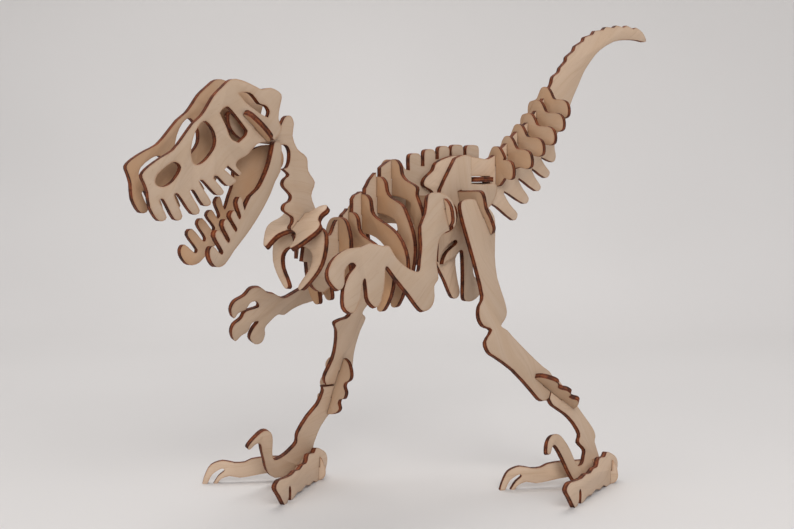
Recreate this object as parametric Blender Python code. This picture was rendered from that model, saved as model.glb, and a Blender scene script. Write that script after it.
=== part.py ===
"""Wooden 3-D jigsaw of a raptor skeleton: laser-cut 3 mm plywood plates that slot together.

Every plate is one flat closed body. A plate is described by a short outline in
millimetres in its own plane and by the frame that stands it up in the model.
Body frame used below: nose towards -X, tail towards +X, Z up, floor at Z = 0.
"""
import math

import bmesh
import bpy
from mathutils import Matrix, Vector

MM = 0.001
PLY = 3.0                 # plywood thickness
GAP = 0.3                 # clearance left on every side of a slot
LAYER = PLY + GAP         # pitch of the three plates laid side by side in the hips
ORIGIN = Vector((36.88, 6.91, 0.0))  # body-frame point that becomes the part's origin

HEAD_YAW = 1.4            # the two skull plates spread a little towards the back
FAR_HEAD_PITCH = 3.5      # the far skull plate sits with its nose a little higher
JAW_YAW_NEAR = 13.0       # the jaw plates flank the neck and spread to the front
JAW_YAW_FAR = -1.0
ARM_SPLAY = 17.7          # arms and legs lean outwards
LEG_SPLAY_NEAR = 16.4
LEG_SPLAY_FAR = 18.0
HIP_TILT = -15.0          # the hip cross plate leans forwards at the top
FOOT_TURN_NEAR = (-32.1, 15.7)  # headings of the long and the short toe plate
FOOT_TURN_FAR = (-37.7, 28.9)

BEND_FOR_FINE = 38.0      # outlines get more points where they turn by more than this

SPINE_Y = LAYER
TAIL_Y = 0.0
PELVIS_Y = -LAYER

# ---------------------------------------------------------------- outlines
# (x, z) in millimetres; a third value marks a sharp corner, other points are rounded.


def spike(x0, x1, foot0, top, foot1):
    """One square spike of the back with rounded top corners."""
    return [(x0, foot0, 1), (x0, top - 2), (x0 + 2, top), (x1 - 2, top), (x1, top - 2), (x1, foot1, 1)]


def fingers(tips, gaps, step, tip_width, gap_width):
    """Row of rounded teeth: tips and the slots between them, walked in direction step."""
    sx, sy = step
    points = []
    for index, tip in enumerate(tips):
        for side in (-0.5, 0.5):
            points.append((tip[0] + side * sx * tip_width, tip[1] + side * sy * tip_width))
        if index < len(gaps):
            gap = gaps[index]
            for side in (-0.5, 0.5):
                points.append((gap[0] + side * sx * gap_width, gap[1] + side * sy * gap_width))
    return points


def mirrored(half):
    """Full outline of a cross plate from its right half, written from top to bottom."""
    left = [(-p[0],) + tuple(p[1:]) for p in reversed(half) if p[0] > 0.01]
    return half + left


def spine_outline():
    head_arm = [
        (-84.5, 201, 1), (-91, 203), (-97, 207), (-102, 213), (-108, 216), (-113.5, 213),
        (-113.5, 206), (-108, 200.5), (-100, 198.5), (-92, 197.8), (-83, 197.2, 1),
    ]
    jaw_notch = [(-78, 197.2), (-75.6, 194), (-75.8, 189), (-77.5, 185.8), (-80, 185, 1)]
    neck_front = [
        (-76.2, 182), (-79.4, 179.5), (-80, 176.5), (-77, 173.6), (-74.7, 171.2), (-75.6, 168.6),
        (-79, 166.8), (-79.8, 164), (-76.5, 161.8), (-73.7, 160), (-73.9, 157.2), (-75.6, 155),
        (-74, 152), (-72, 149), (-71, 143), (-71, 137.5, 1), (-64.5, 136.5, 1), (-63.5, 129),
        (-60, 123),
    ]
    belly = [
        (-54, 120), (-48, 123), (-43, 131), (-36, 138), (-28, 144), (-21, 152), (-14, 158),
        (-6, 164), (2, 164), (6, 157.5), (15, 156.5), (24, 160), (34, 157), (40, 149), (47, 143),
        (56, 142), (64, 151), (72, 161), (80, 172), (80, 184), (76, 190),
    ]
    back = spike(60, 71, 192, 199.5, 191)[::-1]
    back += spike(47, 57, 193, 199.5, 192.5)[::-1]
    back += spike(36, 45, 191, 198.5, 193)[::-1]
    back += spike(24, 33, 187, 196.5, 191)[::-1]
    back += spike(12, 21, 184.5, 194, 187)[::-1]
    humps = [
        (8, 185.5), (4, 190), (-2, 190.5), (-9, 187), (-14, 183.5), (-19, 179), (-23, 173.5),
        (-30, 171), (-36, 163), (-40, 160), (-44, 157), (-48, 150), (-53, 152),
    ]
    neck_back = [
        (-58, 163), (-61.5, 171), (-59, 178), (-63.5, 184), (-64.5, 191), (-71, 195.5),
        (-74, 202), (-73, 208), (-75, 212), (-79, 211),
    ]
    return head_arm + jaw_notch + neck_front + belly + back + humps + neck_back


def saw_edge(points, depth):
    """Tail edge with small notches: one inward step just before each point."""
    out = [points[0]]
    for start, end in zip(points, points[1:]):
        dx = end[0] - start[0]
        dz = end[1] - start[1]
        size = math.hypot(dx, dz)
        x = start[0] + 0.72 * dx + depth * dz / size
        z = start[1] + 0.72 * dz - depth * dx / size
        out += [(x, z), end]
    return out


def tail_outline():
    front = [
        (30, 134), (34, 146), (36, 158), (31, 168), (27, 173), (20.5, 176), (21.5, 180), (28, 184.5),
        (31, 189),
    ]
    top = [(41, 192.3), (50, 193.5), (68, 192), (76, 191.5)]
    seats = [(84, 195), (95, 202.5), (105, 210), (115, 215.5), (123.5, 224), (131, 232), (137, 239)]
    tip_top = [
        (139, 244), (146, 250), (153, 257.5), (162, 265), (172, 271.5), (183, 276.5), (195, 280),
        (207, 282), (219, 283), (230, 282.5),
    ]
    tip_low = [
        (238, 280), (242.5, 275), (240, 273.5), (232, 274), (220, 273.5), (204, 271), (188, 264),
        (179, 257), (171, 249), (165, 240), (159.5, 232), (154, 222), (150, 214), (143, 208),
    ]
    chevrons = [
        (140.5, 200), (142, 193.5), (138.5, 190), (127, 193), (131, 188), (136, 183.5), (131.5, 180),
        (118, 186), (121, 180.5), (127, 174.5), (122.5, 171.8), (105, 180), (108, 174.5), (115, 167.5),
        (110.5, 164), (91, 172), (96, 164.5), (104, 158), (100, 154), (79, 165),
    ]
    low = [
        (74, 158), (66, 152), (58, 144), (52, 138), (47, 133), (48.5, 122), (51, 113), (48, 109.5),
        (44, 111), (38, 121),
    ]
    return front + top + seats + saw_edge(tip_top, 1.3) + tip_low + chevrons + low


def pelvis_outline():
    upper = [
        (31, 173.5), (43.5, 191.5, 1), (50, 193.5), (57, 193.2, 1), (57, 176.8, 1), (68, 176.4),
        (79, 176.6), (80, 171), (75, 164), (68, 159), (63, 152), (60, 141), (58.5, 130),
    ]
    prong = [
        (60, 122), (66, 118), (66, 112), (60, 108), (54, 107.5), (51, 110), (51, 123), (50, 137),
        (47, 138),
    ]
    pubis = [
        (43, 134.5), (38, 133), (33, 130.5), (29, 131.5), (28.8, 139), (30, 147), (37, 149),
        (42.5, 152), (45, 158), (43.5, 163.5), (38, 167), (32, 169),
    ]
    return upper + prong + pubis


PUBIS_SLIT = [
    (27, 127), (30.5, 135), (35.5, 140.7), (43, 144.4), (45, 143), (43.5, 141.3), (37.5, 138),
    (33.7, 133.5), (32, 127),
]

SKULL = [
    (-1, 0), (3, 4), (9.5, 8), (16, 11.5), (21.5, 17.5), (27, 24), (32, 28), (35.5, 32.5), (39, 37.5),
    (44, 42), (49.5, 46), (56.5, 45.5), (64, 43), (67.5, 42), (73, 43), (79.5, 40), (78.5, 34),
    (77.5, 28), (79.5, 22.5), (75, 17.5), (69.5, 16.5), (64, 15), (58.5, 10), (52.5, 7), (51.5, 4),
    (54.5, 1), (53.5, -0.5, 1), (46.5, 4.5, 1), (44.5, 2.5, 1), (51.5, -2.5, 1),
] + fingers(
    [(48.5, -4.6), (42, -8.8), (34.5, -13.7), (28, -17.6), (18.2, -20), (9.6, -20.4)],
    [(39.3, -1), (31, -3), (25.8, -7.6), (17, -9.2), (9, -11.7)],
    (-0.94, -0.34), 4.4, 2.5,
) + [(3, -15), (2, -8), (0.5, -4)]

NOSTRIL = [
    (5.9, -4), (6.9, 0), (12.4, 4.5), (16.9, 6), (19.9, 3.5), (17.4, -1), (13.4, -4.5), (8.9, -5.5),
]
CHEEK = [
    (34, 25.5), (39, 20.5), (39.5, 14), (35, 8), (30.5, 5), (27, 5.5), (25.5, 10), (26.5, 16.5),
    (29.5, 22.5),
]
EYE = [
    (42, 29.5, 1), (44.5, 32), (47.5, 32.5), (53, 27.5), (58.5, 21.5, 1), (57.5, 19), (53, 15.5, 1),
    (48.5, 17.5), (45.5, 23.5),
]
TEMPLE = [
    (53, 39.5, 1), (60, 40), (64, 37), (66, 35), (70, 34), (72, 31.3), (71, 28.3, 1), (68, 29.3),
    (64.5, 31), (58.5, 34.5),
]



def jaw_outline(rear, crest):
    """Jaw plate: the rear end and the upper crest differ, teeth and lower edge are the same."""
    teeth = fingers(
        [(-30.5, -34), (-34.5, -38.5), (-37.5, -44.5), (-43, -49.5), (-48, -55)],
        [(-35, -30), (-40, -36.5), (-45.5, -40.5), (-51.5, -45.5)],
        (-0.68, -0.73), 2.2, 4.0,
    )
    lower = [
        (-54.5, -51.5), (-57, -54), (-56, -58), (-52, -61.5), (-46, -60.5), (-39.3, -54.5),
        (-30.3, -47.5), (-23.4, -41.5), (-16.4, -34.4), (-10.4, -27.2), (-6.8, -21.4), (-2.5, -16.5),
    ]
    return rear + crest + teeth + lower


JAW_NEAR = jaw_outline(
    [(-1.5, -12), (-1.2, -6), (-2, -1.8), (-6.5, -1.5)],
    [(-8, -5), (-9.5, -9.5), (-11.8, -14.5), (-15.5, -20), (-20, -25), (-26, -28.5)],
)
JAW_FAR = jaw_outline(
    [(4, -15), (6.5, -11), (5.5, -6), (1.5, -3), (-6, -3)],
    [(-14, -5.5), (-22, -9.5), (-24.5, -14), (-25, -19), (-26, -24), (-28, -28.5)],
)

HEAD_CROSS = [
    (13.4, -7.5), (14.4, 0), (13.4, 7.5), (11.5, 10, 1), (-11.5, 10, 1), (-13.4, 7.5),
    (-14.4, 0), (-13.4, -7.5), (-11.5, -10, 1), (11.5, -10, 1),
]

NECK_CROSS = mirrored([
    (0, 11), (5, 12), (9, 16), (14, 17), (16, 14), (14.5, 10.5), (15.5, 7), (19.5, 3.5), (20, -0.5),
    (17, -6), (12.5, -12), (9.5, -13), (9, -9), (7, -4), (0, -1),
])

CHEST_CROSS = mirrored([
    (0, -4), (5, -3), (11, -1.2), (16, -2.4), (19.5, -6), (20.5, -13), (19, -21), (15, -27), (10, -32),
    (6, -35), (4, -33.5), (7, -29), (11, -24), (12.5, -18), (9.5, -14), (4, -12.5), (0, -12),
])

SMALL_RIB = mirrored([
    (0, 0), (5, -1), (8, -5), (10, -12), (9.5, -19), (6.5, -25), (3, -27), (0, -27),
])

SHOULDER_CROSS = mirrored([
    (0, 7), (12, 7.5), (24, 7.5), (31, 6), (35, 2), (36.5, -5), (35, -8.5), (31, -9.5), (25, -9.5),
    (10, -8.5), (0, -9),
])

HIP_CROSS = mirrored([
    (0, 9), (12, 9), (21, 9), (23, 5), (23, -1), (25, -6), (26.5, -12), (26, -14.5), (24, -16.5),
    (12, -16.5), (0, -16.5),
])

ANKLE_LINK = [
    (-18, 0), (-17, 6), (-12, 10.5), (-8, 11), (-5, 8.5), (-2.5, 8.5), (0, 11), (4, 11), (6, 8),
    (8.5, 8), (11, 10), (14.5, 8.5), (18, 3), (18, -3), (14.5, -8.5), (11, -10), (8.5, -8), (6, -8),
    (4, -11), (0, -11), (-2.5, -8.5), (-5, -8.5), (-8, -11), (-12, -10.5), (-17, -6),
]

ARM_NEAR = [
    (-12, 8), (-6, 9.5), (1, 8.5), (6, 4), (6, -5), (2, -11), (-5, -13), (-11, -16.5), (-15, -23),
    (-18, -31), (-19, -38), (-23.5, -42), (-25, -47.5), (-28, -52), (-33, -54.5), (-37.5, -53.5),
    (-44, -44), (-50, -36), (-54, -30), (-56, -30), (-59, -38), (-64, -47), (-68.5, -50),
    (-72.5, -46), (-72, -40), (-71.5, -35), (-73.5, -36), (-78, -45), (-84.5, -51.5), (-89.5, -48),
    (-87, -39), (-82, -32.5), (-76, -28), (-79, -26.3), (-84, -30), (-86.5, -37), (-91, -39.5),
    (-95.5, -34), (-94, -28), (-88, -22.5), (-79, -19), (-70, -18.5), (-63, -16.8), (-55, -18.5),
    (-50, -19), (-47, -25), (-42, -30), (-36, -33), (-32, -33), (-29, -27), (-25.5, -19), (-23, -9),
    (-17, -2),
]

ARM_FAR = [
    (-12, 8), (-5, 9.5), (3, 8), (7, 2), (5, -7), (-2, -14), (-8, -23), (-11, -34), (-14, -44),
    (-21, -52), (-29, -56), (-37, -57.5), (-44, -60), (-49, -63), (-54, -62.5), (-59, -66.5),
    (-61.5, -70), (-60.5, -74), (-61.5, -78.5), (-66, -79.5), (-70.8, -75.5), (-70, -70), (-67, -65.5),
    (-71.5, -66), (-73.5, -71), (-77.5, -73), (-81, -76), (-84.5, -71), (-84, -66), (-79.5, -62.5),
    (-77.5, -58.5), (-69, -56.5), (-71.5, -53), (-75.5, -53.5), (-78, -57.3), (-82.5, -59), (-85, -62),
    (-88, -57), (-86.5, -52), (-80.5, -49), (-76.5, -44.8), (-70, -44.8), (-65, -48), (-59, -49.5),
    (-52, -52.5), (-44, -49.5), (-34, -44.5), (-26, -39), (-21, -27), (-15, -14), (-12, -4),
]

LEG_NEAR = [
    (-12, -3), (-9.5, 1), (-3, 2), (4, 1), (11, -3), (15, -9), (13, -18), (8, -32), (6, -45),
    (8, -58), (8, -65), (5, -69), (0.5, -72.5), (5, -75.5), (8, -79), (19, -90), (29, -99),
    (34, -102.5), (36.5, -106.5, 1), (28.5, -117.5, 1), (24, -118.5), (20, -117), (15, -111),
    (3, -98), (-9, -89.5), (-14, -86), (-15, -80), (-8, -74), (-14, -71), (-16, -66), (-14, -60),
    (-9, -54), (-10, -32), (-12, -12),
]

SHIN_NEAR = [
    (28.9, -117.9, 1), (36.9, -106.9, 1), (39.5, -107), (44, -113), (51, -123), (57, -132),
    (62.5, -140), (63.5, -145), (61.5, -148.5), (62.5, -156), (62, -164), (57, -169), (48, -170.5),
    (38, -169), (33.5, -164), (30.5, -156), (28, -149.5), (25, -144.5), (22, -145), (19, -148.5),
    (16.5, -147.5), (19, -142), (24, -138.5), (30, -139), (34, -143), (37, -148.5), (38.7, -154),
    (41, -159), (46, -158.5), (49.3, -154.5), (51, -151), (46.8, -146), (49.7, -141.5), (46, -134),
    (40, -128), (31, -122),
]

LEG_FAR = [
    (-11, -1), (-6, 3), (1, 3.5), (8, 1), (11, -5), (7, -13), (-3, -23), (-16, -37), (-29, -55),
    (-36, -63), (-38.5, -68), (-35, -71.5), (-37, -79), (-38, -87), (-38, -95), (-36.5, -104),
    (-37, -109), (-38.5, -113, 1), (-55, -112.4, 1), (-57, -109), (-57, -105), (-54, -96),
    (-54, -87), (-56, -78), (-59, -73), (-55, -71), (-50, -70), (-48, -67), (-54, -63), (-56, -58),
    (-51, -53), (-43, -45), (-33, -32), (-20, -14),
]

SHIN_FAR = [
    (-57.5, -113.4, 1), (-43.5, -113.9, 1), (-40.5, -117), (-42, -123), (-47, -132), (-52, -140),
    (-54, -148), (-54.5, -153), (-54, -162), (-58, -168), (-68, -170), (-80, -169.5), (-87, -164),
    (-91, -156), (-94.5, -149), (-96.5, -144.5), (-100, -143.5), (-104, -146.5), (-105.5, -144.5),
    (-102, -140), (-96.5, -136), (-91, -137.5), (-88, -143), (-86.5, -151), (-83.5, -157),
    (-77, -156), (-72, -152.5), (-68.5, -148.5), (-69, -142), (-64, -132), (-58, -125), (-56, -117),
]

LONG_TOE = [
    (0, 0, 1), (1.5, 5), (5, 11), (12, 13.5), (19, 12), (25, 12.2), (29, 14), (38, 15), (48, 15),
    (58, 15.3), (68, 15), (71.5, 11), (73, 5), (71.5, 1), (67, 0), (60, 1.5), (50, 4), (41, 5.5),
    (30, 4), (22, 3), (16, 4.2), (11, 2.5), (9, 0, 1), (6.5, 0, 1), (9.5, 4.5), (13, 7.4),
    (11.5, 8.8), (6, 5.5), (3, 0, 1),
]

SIDE_TOE = [
    (0, 0, 1), (-7, 7), (-12.5, 12.5), (-8, 15.5), (1, 14.8), (11, 14), (17, 15), (24, 14),
    (29, 15.5), (35.5, 15.5), (39, 19.5), (48, 18.5), (52, 20.5), (61, 17.5), (68, 14), (71, 9),
    (67, 3), (60, 0, 1), (51, 0, 1), (46, 1.8), (40, 0.8), (33, 2.6), (26, 1), (20, 1.8), (14, 0, 1),
    (9.5, 0, 1), (10, 5), (8.7, 8.3), (6.6, 7.8), (6.3, 3), (4, 0, 1),
]

# ---------------------------------------------------------------- frames


def frame(origin, u, v):
    """Plate frame: x along u, y along v, z through the plywood."""
    u = Vector(u).normalized()
    v = Vector(v).normalized()
    n = u.cross(v).normalized()
    matrix = Matrix((u, v, n)).transposed().to_4x4()
    matrix.translation = Vector(origin)
    return matrix


def side_frame(origin, yaw=0.0, pitch=0.0):
    """Upright plate running along X, turned by yaw about the vertical; pitch lifts its front."""
    a = math.radians(yaw)
    p = math.radians(pitch)
    along = Vector((math.cos(a) * math.cos(p), math.sin(a) * math.cos(p), -math.sin(p)))
    upward = Vector((math.cos(a) * math.sin(p), math.sin(a) * math.sin(p), math.cos(p)))
    return frame(origin, along, upward)


def splayed_frame(origin, side, splay):
    """Plate of a limb: runs along X and leans outwards below; side is -1 near, +1 far."""
    a = math.radians(splay)
    return frame(origin, (1, 0, 0), (0, -side * math.sin(a), math.cos(a)))


def cross_frame(origin, tilt=0.0):
    """Plate across the body; a positive tilt leans its top towards the tail."""
    a = math.radians(tilt)
    return frame(origin, (0, 1, 0), (math.sin(a), 0, math.cos(a)))


# ---------------------------------------------------------------- building


def clear_scene():
    for item in list(bpy.data.objects):
        bpy.data.objects.remove(item, do_unlink=True)


def wood_material(name, shade):
    """Plain birch plywood; shade moves the tone a little from plate to plate."""
    material = bpy.data.materials.new(name)
    material.use_nodes = True
    shader = material.node_tree.nodes["Principled BSDF"]
    shader.inputs["Base Color"].default_value = (0.62 + shade, 0.45 + shade, 0.30 + shade, 1.0)
    shader.inputs["Roughness"].default_value = 0.72
    return material


def turn_at(before, here, after):
    """How sharply an outline turns at a point, in degrees."""
    first = Vector(here[:2]) - Vector(before[:2])
    second = Vector(after[:2]) - Vector(here[:2])
    return math.degrees(first.angle(second, 0.0))


def smooth_loop(points):
    """Closed curve through the points; stretches between two sharp corners stay straight."""
    count = len(points)
    loop = []
    for i in range(count):
        before, start, end, after = (points[(i + k) % count] for k in (-1, 0, 1, 2))
        a = Vector(start[:2])
        b = Vector(end[:2])
        loop.append(a)
        sharp_a = len(start) > 2
        sharp_b = len(end) > 2
        if sharp_a and sharp_b:
            continue
        slope_a = (b - a) if sharp_a else (b - Vector(before[:2])) * 0.5
        slope_b = (b - a) if sharp_b else (Vector(after[:2]) - a) * 0.5
        limit = 1.4 * (b - a).length
        slope_a = slope_a * min(1.0, limit / max(slope_a.length, 1e-6))
        slope_b = slope_b * min(1.0, limit / max(slope_b.length, 1e-6))
        bend = max(turn_at(before, start, end), turn_at(start, end, after))
        steps = 3 if bend > BEND_FOR_FINE else 2
        for step in range(1, steps):
            t = step / steps
            curve = a * (2 * t**3 - 3 * t**2 + 1) + b * (3 * t**2 - 2 * t**3)
            loop.append(curve + slope_a * (t**3 - 2 * t**2 + t) + slope_b * (t**3 - t**2))
    return loop


def prism(name, loop, thickness):
    """Closed body with two flat faces, thickness centred on the plane of the loop."""
    mesh = bpy.data.meshes.new(name)
    body = bmesh.new()
    half = thickness * 0.5 * MM
    low = [body.verts.new((p[0] * MM, p[1] * MM, -half)) for p in loop]
    high = [body.verts.new((p[0] * MM, p[1] * MM, half)) for p in loop]
    body.faces.new(low)
    body.faces.new(high)
    count = len(loop)
    for i in range(count):
        j = (i + 1) % count
        body.faces.new((low[i], low[j], high[j], high[i]))
    bmesh.ops.recalc_face_normals(body, faces=body.faces)
    body.to_mesh(mesh)
    body.free()
    item = bpy.data.objects.new(name, mesh)
    bpy.context.scene.collection.objects.link(item)
    return item


def stand(item, matrix):
    placed = matrix.copy()
    placed.translation = (matrix.translation - ORIGIN) * MM
    item.matrix_world = placed


class Plate:
    """One plywood piece: its object, its frame and the cutters that shape it."""

    def __init__(self, name, matrix, outline, shade=0.0):
        self.name = name
        self.matrix = matrix
        self.cuts = 0
        self.item = prism(name, smooth_loop(outline), PLY)
        stand(self.item, matrix)
        self.item.data.materials.append(wood_material("wood_" + name, shade))

    def normal(self):
        return self.matrix.to_3x3().col[2].copy()

    def subtract(self, cutter):
        self.cuts += 1
        cutter.name = self.name + "_cut_" + str(self.cuts)
        cutter.hide_render = True
        cutter.display_type = "WIRE"
        modifier = self.item.modifiers.new("cut_" + str(self.cuts), "BOOLEAN")
        modifier.operation = "DIFFERENCE"
        modifier.solver = "EXACT"
        modifier.object = cutter

    def hole(self, outline):
        """Opening right through the plate, outline in the plate's own plane."""
        cutter = prism("hole", smooth_loop(outline), PLY + 4.0)
        stand(cutter, self.matrix)
        self.subtract(cutter)


def box_loop(width, height):
    x = width / 2
    z = height / 2
    return [(-x, -z), (x, -z), (x, z), (-x, z)]


def cut_slab(plate, other, start, direction, length, spread):
    """Remove the room the other plate needs, from start along direction."""
    across = other.normal()
    matrix = frame(start + direction * (length / 2), direction, across.cross(direction))
    cutter = prism("slot", box_loop(length, spread * 2), PLY + 2 * GAP)
    stand(cutter, matrix)
    plate.subtract(cutter)


def crossing(first, second, near):
    """Point on the line where two plates cross, closest to near, and the upward line direction."""
    n1 = first.normal()
    n2 = second.normal()
    line = n1.cross(n2).normalized()
    if line.z < 0:
        line = -line
    point = Vector(near)
    for _ in range(40):
        for n, plate in ((n1, first), (n2, second)):
            point = point - n * n.dot(point - plate.matrix.translation)
    return point, line


def half_lap(holder, rider, near, up=25.0, down=25.0, spread=4.5):
    """Slot joint: the holder is open above the meeting point, the rider below it."""
    point, line = crossing(holder, rider, near)
    cut_slab(holder, rider, point - line * (GAP / 2), line, up, spread)
    cut_slab(rider, holder, point + line * (GAP / 2), -line, down, spread)


def window(plate, other, near, above, below):
    """Closed slot in plate through which the other plate passes."""
    point, line = crossing(plate, other, near)
    cut_slab(plate, other, point - line * below, line, above + below, 4.0)


# ---------------------------------------------------------------- pieces


def body_plates():
    spine = Plate("spine_plate", side_frame((0, SPINE_Y, 0)), spine_outline(), 0.01)
    tail = Plate("tail_plate", side_frame((0, TAIL_Y, 0)), tail_outline(), 0.03)
    pelvis = Plate("pelvis_plate", side_frame((0, PELVIS_Y, 0)), pelvis_outline(), 0.02)
    pelvis.hole(PUBIS_SLIT)
    return spine, tail, pelvis


def pelvis_key(spine, tail):
    """Short flat key through the window that ties the plates of the hips together."""
    key_window = [(58, 177.4, 1), (77.5, 177.4, 1), (77.5, 181.2, 1), (58, 181.2, 1)]
    spine.hole(key_window)
    tail.hole(key_window)
    outline = [(-8.5, -5.6, 1), (8.5, -5.6, 1), (8.5, 5.6, 1), (-8.5, 5.6, 1)]
    return Plate("pelvis_key", frame((67.5, 0, 179.3), (1, 0, 0), (0, 1, 0)), outline, 0.0)


def head(spine):
    near = Plate("skull_near", side_frame((-167.3, SPINE_Y - 6.2, 182), -HEAD_YAW), SKULL, 0.03)
    far_frame = side_frame((-167.7, SPINE_Y + 6.2, 186), HEAD_YAW, FAR_HEAD_PITCH)
    far = Plate("skull_far", far_frame, SKULL, -0.02)
    for skull in (near, far):
        for opening in (NOSTRIL, CHEEK, EYE, TEMPLE):
            skull.hole(opening)
    brace = Plate("head_cross", cross_frame((-103.5, SPINE_Y, 206), -50.6), HEAD_CROSS, -0.01)
    for skull, y in ((near, SPINE_Y - 7.5), (far, SPINE_Y + 7.5)):
        half_lap(brace, skull, (-103.5, y, 206), up=14, down=16)
    half_lap(spine, brace, (-103.5, SPINE_Y, 206), up=16, down=14, spread=3)
    return near, far, brace


def jaws():
    near = Plate("jaw_near", side_frame((-83.5, SPINE_Y - 3.5, 200), JAW_YAW_NEAR), JAW_NEAR, 0.02)
    far = Plate("jaw_far", side_frame((-83.5, SPINE_Y + 3.6, 200), JAW_YAW_FAR), JAW_FAR, -0.03)
    return near, far


def neck_crosses(spine):
    wishbone = Plate("neck_cross", cross_frame((-73, SPINE_Y, 153.5), 45), NECK_CROSS, 0.04)
    half_lap(wishbone, spine, (-69.5, SPINE_Y, 157), up=14, down=12)
    chest = Plate("chest_cross", cross_frame((-66, SPINE_Y, 157), 9.7), CHEST_CROSS, 0.03)
    half_lap(chest, spine, (-67.3, SPINE_Y, 149.3), up=14, down=18)
    return wishbone, chest


def rib_outline(width, drop, shoulder):
    """Arched rib: width of the half, how far the tips hang, and height of the shoulder."""
    s = width / 37.0
    d = drop / 60.0
    h = shoulder
    return mirrored([
        (0, 0), (4.5, -0.3), (7.5, -3.5), (8.5, -9 + h), (12, -12.5 + h), (20, -16 + h),
        (29 * s, -21 + h), (35 * s, -29 * d), (37 * s, -39 * d), (34.5 * s, -50 * d),
        (30 * s, -58 * d), (27 * s, -60 * d), (24.5 * s, -58.5 * d), (25.5 * s, -52 * d),
        (28 * s, -43 * d), (27 * s, -35 * d), (22.5 * s, -30 * d), (16, -25 + h), (9, -22 + h),
        (0, -21 + h),
    ])


def ribs(spine):
    first = Plate("rib_1", cross_frame((-41, SPINE_Y, 159.5)), SMALL_RIB, 0.0)
    half_lap(spine, first, (-41, SPINE_Y, 147), up=30, down=20)
    rows = (
        ("rib_2", -33.5, 162, 35, 52, 0),
        ("rib_3", -24, 171.5, 36, 60, 0),
        ("rib_4", -12.5, 181, 30, 62, 1),
        ("rib_5", -1, 190.5, 25.5, 58, 1),
    )
    plates = [first]
    for name, x, top, width, drop, shoulder in rows:
        rib = Plate(name, cross_frame((x, SPINE_Y, top)), rib_outline(width, drop, shoulder), 0.01)
        half_lap(spine, rib, (x, SPINE_Y, top - 11), up=30, down=25)
        plates.append(rib)
    return plates


def shoulders(spine):
    cross = Plate("shoulder_cross", cross_frame((10, SPINE_Y, 163)), SHOULDER_CROSS, -0.02)
    half_lap(cross, spine, (10, SPINE_Y, 163), up=12, down=12)
    near = Plate("arm_near", splayed_frame((10, SPINE_Y - 30.5, 163), -1, ARM_SPLAY), ARM_NEAR, 0.03)
    far = Plate("arm_far", splayed_frame((10, SPINE_Y + 30.5, 163), 1, ARM_SPLAY), ARM_FAR, 0.0)
    for arm, y in ((near, SPINE_Y - 30.5), (far, SPINE_Y + 30.5)):
        half_lap(cross, arm, (10, y, 163), up=12, down=20)
    return cross, near, far


def hips(stack, legs):
    cross = Plate("hip_cross", cross_frame((49, 0, 164), HIP_TILT), HIP_CROSS, -0.04)
    for plate in stack:
        window(plate, cross, (49, 0, 164), 9.3, 16.8)
    for leg, y in zip(legs, (-20, 20)):
        half_lap(leg, cross, (51, y, 157.5), up=20, down=20)
    return cross


def tail_cross_outline(size, prong):
    """Tail vertebra: winged on the near side, short on the far side."""
    k = size / 22.0
    near_half = [
        (0, -13 - prong), (-2.5, -13.5 - prong), (-5, -12.5 - prong), (-8, -11.5), (-13 * k, -11),
        (-18 * k, -12), (-21.5 * k, -10.5), (-22 * k, -6), (-20 * k, -2), (-16 * k, -0.3), (-11 * k, 0),
        (-8, 1), (-6, 4.5), (-3.5, 7.6),
    ]
    far_half = [
        (-0.5, 8.2), (1.5, 7.2), (3, 4.5), (5, 1), (8, 0), (10.5, -0.8), (11.8, -4), (11.5, -9),
        (9, -11), (5, -12 - prong), (2.5, -13 - prong),
    ]
    return near_half + far_half


def tail_crosses(tail):
    rows = (
        (84, 191, 15, 2.5), (95, 197.5, 20, 0), (105, 205, 21, 0), (115, 212, 22, 0),
        (123.5, 220.5, 22, 0), (131, 229, 20, 0),
    )
    plates = []
    for number, (x, level, size, prong) in enumerate(rows, start=1):
        name = "tail_cross_" + str(number)
        cross = Plate(name, cross_frame((x, TAIL_Y, level)), tail_cross_outline(size, prong), -0.01)
        half_lap(tail, cross, (x, TAIL_Y, level - 3.5), up=30, down=25)
        plates.append(cross)
    return plates


def leg_side(word, side, hip_x, splay, leg_outline, shin_outline, link_mid, link_run):
    base = splayed_frame((hip_x, side * 17, 166), side, splay)
    leg = Plate("leg_" + word, base, leg_outline, 0.02)
    shin = Plate("shin_" + word, base.copy(), shin_outline, 0.01)
    run = Vector((link_run[0], link_run[1], 0)).normalized()
    turn = base.to_3x3()
    middle = base @ Vector((link_mid[0], link_mid[1], 0))
    down = turn @ run
    link = Plate("ankle_link_" + word, frame(middle, down, base.to_3x3().col[2]), ANKLE_LINK, -0.02)
    half_lap(link, leg, middle - down * 9.5, up=14, down=14)
    half_lap(shin, link, middle + down * 7.5, up=14, down=16)
    return leg, shin, link


def legs():
    near = leg_side("near", -1, 44, LEG_SPLAY_NEAR, LEG_NEAR, SHIN_NEAR, (34.5, -114.4), (0.8, -0.6))
    far = leg_side("far", 1, 46.5, LEG_SPLAY_FAR, LEG_FAR, SHIN_FAR, (-46.5, -114.0), (-0.1, -1.0))
    return near, far


def foot(word, shin, heel, turns, side_start, meeting):
    """Two toe plates crossing behind the heel, where the shin stands on the long toe."""
    heel = Vector(heel)
    a = math.radians(turns[0])
    along = Vector((math.cos(a), math.sin(a), 0))
    long_toe = Plate("long_toe_" + word, side_frame(heel - along * 57, turns[0]), LONG_TOE, 0.0)
    side_toe = Plate("side_toe_" + word, side_frame(heel + Vector(side_start), turns[1]), SIDE_TOE, 0.04)
    half_lap(long_toe, shin, heel + Vector((0, 0, 9)), up=12, down=12, spread=7)
    half_lap(long_toe, side_toe, heel + Vector(meeting), up=14, down=14, spread=5.5)
    return long_toe, side_toe


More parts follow.
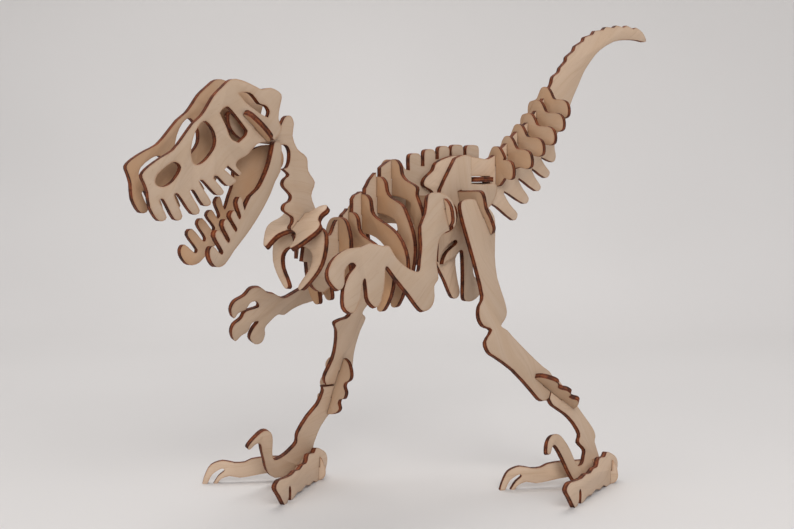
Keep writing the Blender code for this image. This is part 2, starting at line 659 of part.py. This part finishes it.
def build():
    clear_scene()
    spine, tail, pelvis = body_plates()
    pelvis_key(spine, tail)
    head(spine)
    jaws()
    neck_crosses(spine)
    ribs(spine)
    shoulders(spine)
    near, far = legs()
    hips((spine, tail, pelvis), (near[0], far[0]))
    tail_crosses(tail)
    foot("near", near[1], (100, -62.4, 0), FOOT_TURN_NEAR, (-48.3, -22, 0), (9, -6, 8))
    foot("far", far[1], (-16, 67, 0), FOOT_TURN_FAR, (-41.2, -34.4, 0), (7.4, -5.7, 8))


build()
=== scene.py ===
"""Looks for the slot-together plywood raptor skeleton: laser-cut birch plates on a pale studio floor.

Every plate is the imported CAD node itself. The script adds a fine rounded arris and a wood
material that knows the plate's own plane, so the grain runs in the sheet, the flat faces are
pale birch and everything the laser cut through is charred, with the plies showing.
"""
import math

import bmesh
import bpy
from mathutils import Matrix, Vector

MM = 0.001

# Camera: its place in the model's frame and its direction, in degrees.
VIEW_AZIMUTH = 45.0       # the camera looks towards +X +Y
VIEW_PITCH = 4.27         # and slightly down
CAMERA_PLACE = Vector((-510.7, -480.7, 182.0)) * MM
FIELD_OF_VIEW = 36.6      # across the width, in degrees

# The cut: rounding of the arris, reach of the smoke on the faces, and the glue line's
# distance from the middle of the sheet.
ARRIS = 0.22 * MM
SMOKE_REACH = 1.9 * MM
GLUE_DEPTH = 0.55 * MM

# Base tones of the wood and of the studio paper, linear.
BIRCH_PALE = (0.50, 0.375, 0.275)
BIRCH_WARM = (0.45, 0.31, 0.20)
BIRCH_FIGURE = (0.34, 0.215, 0.13)
BLEACHED = (0.56, 0.43, 0.33)
# The next tone is painted shade: the warm darker brown laid on the faces of plates that sit in shade.
PAINTED_SHADE_BROWN = (0.47, 0.265, 0.135)
SMOKE = (0.34, 0.13, 0.04)
CHAR = (0.022, 0.006, 0.003)
CHAR_RED = (0.19, 0.036, 0.009)
PLY_CORE = (0.34, 0.105, 0.03)
PAPER_DARK = (0.675, 0.66, 0.645)
PAPER_LIGHT = (0.71, 0.695, 0.68)

# How much paler or darker than the sheet's mean each plate is drawn, plate by plate.
TONES = {
    "skull_near": 0.0, "skull_far": 0.04, "jaw_near": 0.0, "jaw_far": 0.02,
    "spine_plate": 0.04, "tail_plate": 0.28, "pelvis_plate": 0.16, "hip_cross": -0.06,
    "arm_near": -0.03, "arm_far": 0.1, "leg_near": 0.07, "leg_far": 0.3,
    "shin_near": 0.12, "shin_far": 0.24, "neck_cross": 0.14, "chest_cross": 0.14,
    "side_toe_near": 0.34, "side_toe_far": 0.3, "long_toe_near": 0.24, "long_toe_far": 0.22,
}

# Painted shade: how far a plate's faces are darkened to a warm brown, by the start of its name,
# standing for the shade and warm bounce light on plates that sit among and behind others.
PAINTED_SHADE_BY_PLATE = {
    "rib_": 0.7, "tail_cross_": 0.55, "skull_far": 0.5, "jaw_far": 0.62, "head_cross": 0.55,
    "shoulder_cross": 0.4, "hip_cross": 0.4, "ankle_link": 0.35, "chest_cross": 0.12, "pelvis_key": 0.3,
}


# ---------------------------------------------------------------- plate frames


def plate_axes(item):
    """Grain, cross-grain and through directions of a flat plate, and its mid-plane offset."""
    skew = Vector((0.31, 0.57, 0.76))
    angle_steps = 18
    sums = {}
    for face in item.data.polygons:
        normal = face.normal
        if normal.dot(skew) < 0:
            normal = -normal
        key = tuple(round(c, 2) for c in normal)
        area, total = sums.get(key, (0.0, Vector()))
        sums[key] = (area + face.area, total + normal * face.area)
    through = max(sums.values(), key=lambda entry: entry[0])[1].normalized()
    points = [v.co for v in item.data.vertices]
    levels = [p.dot(through) for p in points]
    middle = (min(levels) + max(levels)) / 2
    side = Vector((0, 0, 1)).cross(through)
    if side.length < 0.05:
        side = Vector((1, 0, 0))
    side.normalize()
    up = through.cross(side).normalized()
    spans = []
    for step in range(angle_steps):
        angle = math.pi * step / angle_steps
        axis = side * math.cos(angle) + up * math.sin(angle)
        runs = [p.dot(axis) for p in points]
        spans.append((max(runs) - min(runs), angle))
    angle = max(spans)[1]
    grain = (side * math.cos(angle) + up * math.sin(angle)).normalized()
    return grain, through.cross(grain).normalized(), through, middle


# ---------------------------------------------------------------- node helper


class Graph:
    """Short way to add and join shader nodes."""

    def __init__(self, material):
        self.tree = material.node_tree
        self.shader = self.tree.nodes["Principled BSDF"]
        self.output = self.tree.nodes["Material Output"]

    def join(self, value, socket):
        if isinstance(value, bpy.types.NodeSocket):
            self.tree.links.new(value, socket)
        else:
            socket.default_value = value

    def add(self, kind, **settings):
        node = self.tree.nodes.new(kind)
        for key, value in settings.items():
            setattr(node, key, value)
        return node

    def math(self, operation, a, b=0.0, c=0.0, clamp=False):
        node = self.add("ShaderNodeMath", operation=operation, use_clamp=clamp)
        for value, socket in zip((a, b, c), node.inputs):
            self.join(value, socket)
        return node.outputs[0]

    def dot(self, vector, axis):
        node = self.add("ShaderNodeVectorMath", operation="DOT_PRODUCT")
        self.join(vector, node.inputs[0])
        node.inputs[1].default_value = axis
        return node.outputs["Value"]

    def combine(self, x, y, z):
        node = self.add("ShaderNodeCombineXYZ")
        for value, socket in zip((x, y, z), node.inputs):
            self.join(value, socket)
        return node.outputs[0]

    def noise(self, vector, scale=1.0, detail=3.0, rough=0.5, distortion=0.0):
        node = self.add("ShaderNodeTexNoise")
        self.join(vector, node.inputs["Vector"])
        node.inputs["Scale"].default_value = scale
        node.inputs["Detail"].default_value = detail
        node.inputs["Roughness"].default_value = rough
        node.inputs["Distortion"].default_value = distortion
        return node.outputs["Fac"]

    def stretch(self, vector, scale, shift=(0.0, 0.0, 0.0)):
        node = self.add("ShaderNodeMapping")
        self.join(vector, node.inputs["Vector"])
        node.inputs["Scale"].default_value = scale
        node.inputs["Location"].default_value = shift
        return node.outputs[0]

    def ramp(self, value, low, high, out_low=0.0, out_high=1.0):
        node = self.add("ShaderNodeMapRange", interpolation_type="SMOOTHSTEP")
        self.join(value, node.inputs["Value"])
        node.inputs["From Min"].default_value = low
        node.inputs["From Max"].default_value = high
        node.inputs["To Min"].default_value = out_low
        node.inputs["To Max"].default_value = out_high
        return node.outputs["Result"]

    def mix(self, factor, a, b, blend="MIX"):
        node = self.add("ShaderNodeMix", data_type="RGBA", blend_type=blend)
        self.join(factor, node.inputs[0])
        for value, socket in ((a, node.inputs[6]), (b, node.inputs[7])):
            if isinstance(value, tuple):
                value = value + (1.0,) if len(value) == 3 else value
            self.join(value, socket)
        return node.outputs[2]


# ---------------------------------------------------------------- wood


def plywood(item, number):
    """Birch plywood for one plate: veneer faces, charred laser-cut edges, smoke beside the cut."""
    grain, cross, through, middle = plate_axes(item)
    material = bpy.data.materials.new("plywood_" + item.name)
    material.use_nodes = True
    g = Graph(material)
    place = g.add("ShaderNodeTexCoord").outputs["Object"]
    along = g.dot(place, grain)
    over = g.dot(place, cross)
    depth = g.math("SUBTRACT", g.dot(place, through), middle)
    seed = 0.37 * number
    sheet = g.combine(g.math("ADD", along, seed), g.math("ADD", over, 0.61 * seed), depth)

    geometry = g.add("ShaderNodeNewGeometry")
    facing = g.math("ABSOLUTE", g.dot(geometry.outputs["Normal"], through))
    is_face = g.ramp(facing, 0.62, 0.93)

    # Painted shade: this plate's share of the warm darker brown, standing for the shade it sits in.
    painted_shade = max([0.0] + [value for start, value in PAINTED_SHADE_BY_PLATE.items() if item.name.startswith(start)])
    tone = TONES.get(item.name, 0.0) + 0.02 * math.sin(2.4 * number)
    colour = face_colour(g, sheet, tone, painted_shade)
    smoke = smoke_halo(g, sheet, through)
    colour = g.mix(smoke, colour, SMOKE)
    edge, striation = edge_colour(g, sheet, depth)
    g.join(g.mix(is_face, edge, colour), g.shader.inputs["Base Color"])

    fibre = g.noise(g.stretch(sheet, (60, 1400, 1400)), detail=3, rough=0.6)
    pores = g.noise(g.stretch(sheet, (260, 3800, 3800)), detail=1)
    relief = g.math("ADD", g.math("MULTIPLY", fibre, 0.6), g.math("MULTIPLY", pores, 0.4))
    height = g.add("ShaderNodeMix", data_type="FLOAT")
    g.join(is_face, height.inputs[0])
    g.join(striation, height.inputs[2])
    g.join(relief, height.inputs[3])
    bump = g.add("ShaderNodeBump")
    bump.inputs["Strength"].default_value = 0.35
    bump.inputs["Distance"].default_value = 0.00012
    g.join(height.outputs[0], bump.inputs["Height"])
    g.join(bump.outputs[0], g.shader.inputs["Normal"])

    worn = g.noise(g.stretch(sheet, (40, 90, 90)), detail=4, rough=0.6)
    face_rough = g.ramp(worn, 0.3, 0.7, 0.5, 0.68)
    rough = g.add("ShaderNodeMix", data_type="FLOAT")
    g.join(is_face, rough.inputs[0])
    g.join(g.ramp(striation, 0.3, 0.7, 0.62, 0.85), rough.inputs[2])
    g.join(face_rough, rough.inputs[3])
    g.join(rough.outputs[0], g.shader.inputs["Roughness"])
    g.shader.inputs["Specular IOR Level"].default_value = 0.32
    item.data.materials.clear()
    item.data.materials.append(material)


def face_colour(g, sheet, tone, painted_shade):
    """Rotary-cut veneer: broad soft figure, fine fibres, short pore flecks and blotches, with painted
    shade as a patchy warm brown over plates that sit in shade.
    """
    bend = g.noise(g.stretch(sheet, (9, 16, 16)), detail=2)
    lifted = g.combine(0.0, g.math("MULTIPLY", bend, 0.05), 0.0)
    shifted = g.add("ShaderNodeVectorMath", operation="ADD")
    g.join(sheet, shifted.inputs[0])
    g.join(lifted, shifted.inputs[1])
    warped = shifted.outputs[0]
    figure = g.noise(g.stretch(warped, (5, 190, 190)), detail=3, rough=0.55)
    fibre = g.noise(g.stretch(warped, (34, 1100, 1100)), detail=4, rough=0.65)
    fleck = g.noise(g.stretch(warped, (330, 3400, 3400)), detail=1)
    blotch = g.noise(g.stretch(sheet, (22, 30, 30)), detail=4, rough=0.6)
    pale = tuple(c * (1.0 + tone) for c in BIRCH_PALE)
    warm = tuple(c * (1.0 + tone) for c in BIRCH_WARM)
    colour = g.mix(g.ramp(figure, 0.34, 0.72, 0.0, 0.42), pale, warm)
    colour = g.mix(g.ramp(fibre, 0.5, 0.8, 0.0, 0.34), colour, BIRCH_FIGURE)
    colour = g.mix(g.ramp(fleck, 0.66, 0.8, 0.0, 0.4), colour, BIRCH_FIGURE)
    colour = g.mix(g.ramp(blotch, 0.5, 0.8, 0.0, 0.4), colour, warm)
    colour = g.mix(g.ramp(blotch, 0.18, 0.45, 0.4, 0.0), colour, BLEACHED)
    # Painted shade: patchy warm darker brown over the veneer, as strong as the plate's painted-shade
    # share.
    shade_patches = g.noise(g.stretch(sheet, (26, 34, 34), (0.3, 0.1, 0.0)), detail=3, rough=0.6)
    return g.mix(g.ramp(shade_patches, 0.25, 0.7, 0.55 * painted_shade, min(1.0, 1.35 * painted_shade)), colour, PAINTED_SHADE_BROWN)


def smoke_halo(g, sheet, through):
    """Brown haze on the face close to a cut, where the rounded normal leaves the plate's own."""
    near_edge = g.add("ShaderNodeBevel", samples=6)
    near_edge.inputs["Radius"].default_value = SMOKE_REACH
    turned = g.math("SUBTRACT", 1.0, g.math("ABSOLUTE", g.dot(near_edge.outputs[0], through)))
    patchy = g.noise(g.stretch(sheet, (170, 170, 170)), detail=4, rough=0.65)
    haze = g.math("MULTIPLY", g.ramp(turned, 0.01, 0.26), g.ramp(patchy, 0.28, 0.72, 0.3, 1.0))
    return g.math("MULTIPLY", haze, 0.72)


def edge_colour(g, sheet, depth):
    """Charred cut: three plies, dark glue lines, and fine marks of the laser through the sheet."""
    striation = g.noise(g.stretch(sheet, (1500, 1500, 130)), detail=3, rough=0.6)
    burn = g.noise(g.stretch(sheet, (210, 210, 420)), detail=4, rough=0.65)
    colour = g.mix(g.ramp(burn, 0.3, 0.7), CHAR, CHAR_RED)
    offset = g.math("ABSOLUTE", depth)
    core = g.ramp(offset, 0.42 * MM, 0.58 * MM, 1.0, 0.0)
    colour = g.mix(g.math("MULTIPLY", core, g.ramp(burn, 0.35, 0.75, 0.1, 0.75)), colour, PLY_CORE)
    from_glue = g.math("ABSOLUTE", g.math("SUBTRACT", offset, GLUE_DEPTH))
    glue = g.math("SUBTRACT", 1.0, g.ramp(from_glue, 0.0, 0.13 * MM))
    colour = g.mix(g.math("MULTIPLY", glue, 0.6), colour, CHAR)
    return g.mix(g.ramp(striation, 0.5, 0.72, 0.0, 0.45), colour, CHAR), striation


def finish_plate(item):
    """Smooth curved walls and a hairline rounded arris on a plate; the mesh itself stays as packed."""
    item.data.shade_smooth()
    weld = item.modifiers.new("weld", "WELD")
    weld.merge_threshold = 0.00001
    flat = item.modifiers.new("flat", "DECIMATE")
    flat.decimate_type = "DISSOLVE"
    flat.angle_limit = math.radians(0.4)
    arris = item.modifiers.new("arris", "BEVEL")
    arris.width = ARRIS
    arris.segments = 2
    arris.limit_method = "ANGLE"
    arris.angle_limit = math.radians(50)
    arris.harden_normals = True
    arris.use_clamp_overlap = True


# ---------------------------------------------------------------- studio


def stage_material():
    """Matt paper with a faint cloudiness."""
    material = bpy.data.materials.new("studio_paper")
    material.use_nodes = True
    g = Graph(material)
    place = g.add("ShaderNodeTexCoord").outputs["Object"]
    cloud = g.noise(g.stretch(place, (1.6, 1.6, 1.6)), detail=2)
    paper = g.mix(g.ramp(cloud, 0.3, 0.7), PAPER_DARK, PAPER_LIGHT)
    g.join(paper, g.shader.inputs["Base Color"])
    g.shader.inputs["Roughness"].default_value = 0.9
    g.shader.inputs["Specular IOR Level"].default_value = 0.1
    return material


def sweep():
    """Pale paper sweep: a floor that curves up into a wall behind the model."""
    front = -4.0
    back = 0.62
    radius = 0.5
    half_width = 6.0
    steps = 16
    profile = [(front, 0.0), (back, 0.0)]
    for step in range(1, steps + 1):
        angle = math.pi / 2 * step / steps
        profile.append((back + radius * math.sin(angle), radius * (1 - math.cos(angle))))
    profile.append((back + radius, 2.6))
    turn = Matrix.Rotation(math.radians(VIEW_AZIMUTH), 3, "Z")
    mesh = bpy.data.meshes.new("paper_sweep")
    body = bmesh.new()
    rows = []
    for forward, height in profile:
        low_end = turn @ Vector((forward, -half_width, height - 0.02 * MM))
        high_end = turn @ Vector((forward, half_width, height - 0.02 * MM))
        rows.append([body.verts.new(low_end), body.verts.new(high_end)])
    for low, high in zip(rows, rows[1:]):
        body.faces.new((low[0], high[0], high[1], low[1]))
    body.to_mesh(mesh)
    body.free()
    mesh.shade_smooth()
    paper = bpy.data.objects.new("paper_sweep", mesh)
    bpy.context.scene.collection.objects.link(paper)
    mesh.materials.append(stage_material())


def softbox(name, place, target, size, power, colour):
    """Rectangular area light at a place, turned to a target."""
    lamp = bpy.data.lights.new(name, "AREA")
    lamp.shape = "RECTANGLE"
    lamp.size, lamp.size_y = size
    lamp.energy = power
    lamp.color = colour
    item = bpy.data.objects.new(name, lamp)
    bpy.context.scene.collection.objects.link(item)
    item.location = place
    item.rotation_euler = (Vector(target) - Vector(place)).to_track_quat("-Z", "Y").to_euler()


def lights():
    """Three softboxes and a dim even surround."""
    centre = (0.0, 0.0, 0.13)
    softbox("key_softbox", (-0.75, -1.15, 0.95), centre, (0.8, 0.8), 13.2, (1.0, 0.98, 0.965))
    softbox("fill_softbox", (-1.7, 0.1, 0.6), centre, (1.0, 1.0), 5.5, (1.0, 0.985, 0.965))
    softbox("top_softbox", (0.35, 0.35, 1.6), centre, (1.2, 1.2), 13.0, (1.0, 0.985, 0.985))
    world = bpy.data.worlds.new("studio")
    bpy.context.scene.world = world
    world.use_nodes = True
    background = world.node_tree.nodes["Background"]
    background.inputs["Color"].default_value = (0.97, 0.96, 1.0, 1.0)
    background.inputs["Strength"].default_value = 0.30


def camera():
    """Camera at its place, looking along the viewing direction."""
    data = bpy.data.cameras.new("camera")
    data.angle = math.radians(FIELD_OF_VIEW)
    item = bpy.data.objects.new("camera", data)
    bpy.context.scene.collection.objects.link(item)
    item.location = CAMERA_PLACE
    turn = math.radians(VIEW_AZIMUTH)
    pitch = math.radians(VIEW_PITCH)
    level = math.cos(pitch)
    ahead = Vector((math.cos(turn) * level, math.sin(turn) * level, -math.sin(pitch)))
    item.rotation_euler = ahead.to_track_quat("-Z", "Y").to_euler()
    bpy.context.scene.camera = item


def view_transform():
    """Plain colours, without a film look."""
    view = bpy.context.scene.view_settings
    view.view_transform = "Standard"
    view.look = "None"


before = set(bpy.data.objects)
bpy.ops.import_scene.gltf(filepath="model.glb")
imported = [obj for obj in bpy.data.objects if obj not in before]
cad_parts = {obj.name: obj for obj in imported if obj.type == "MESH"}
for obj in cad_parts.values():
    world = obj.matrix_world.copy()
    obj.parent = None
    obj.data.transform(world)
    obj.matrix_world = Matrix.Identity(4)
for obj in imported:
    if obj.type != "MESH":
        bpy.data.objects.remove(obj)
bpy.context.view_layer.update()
for count, (node_name, node) in enumerate(sorted(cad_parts.items())):
    plywood(node, count)
    finish_plate(node)
sweep()
lights()
camera()
view_transform()
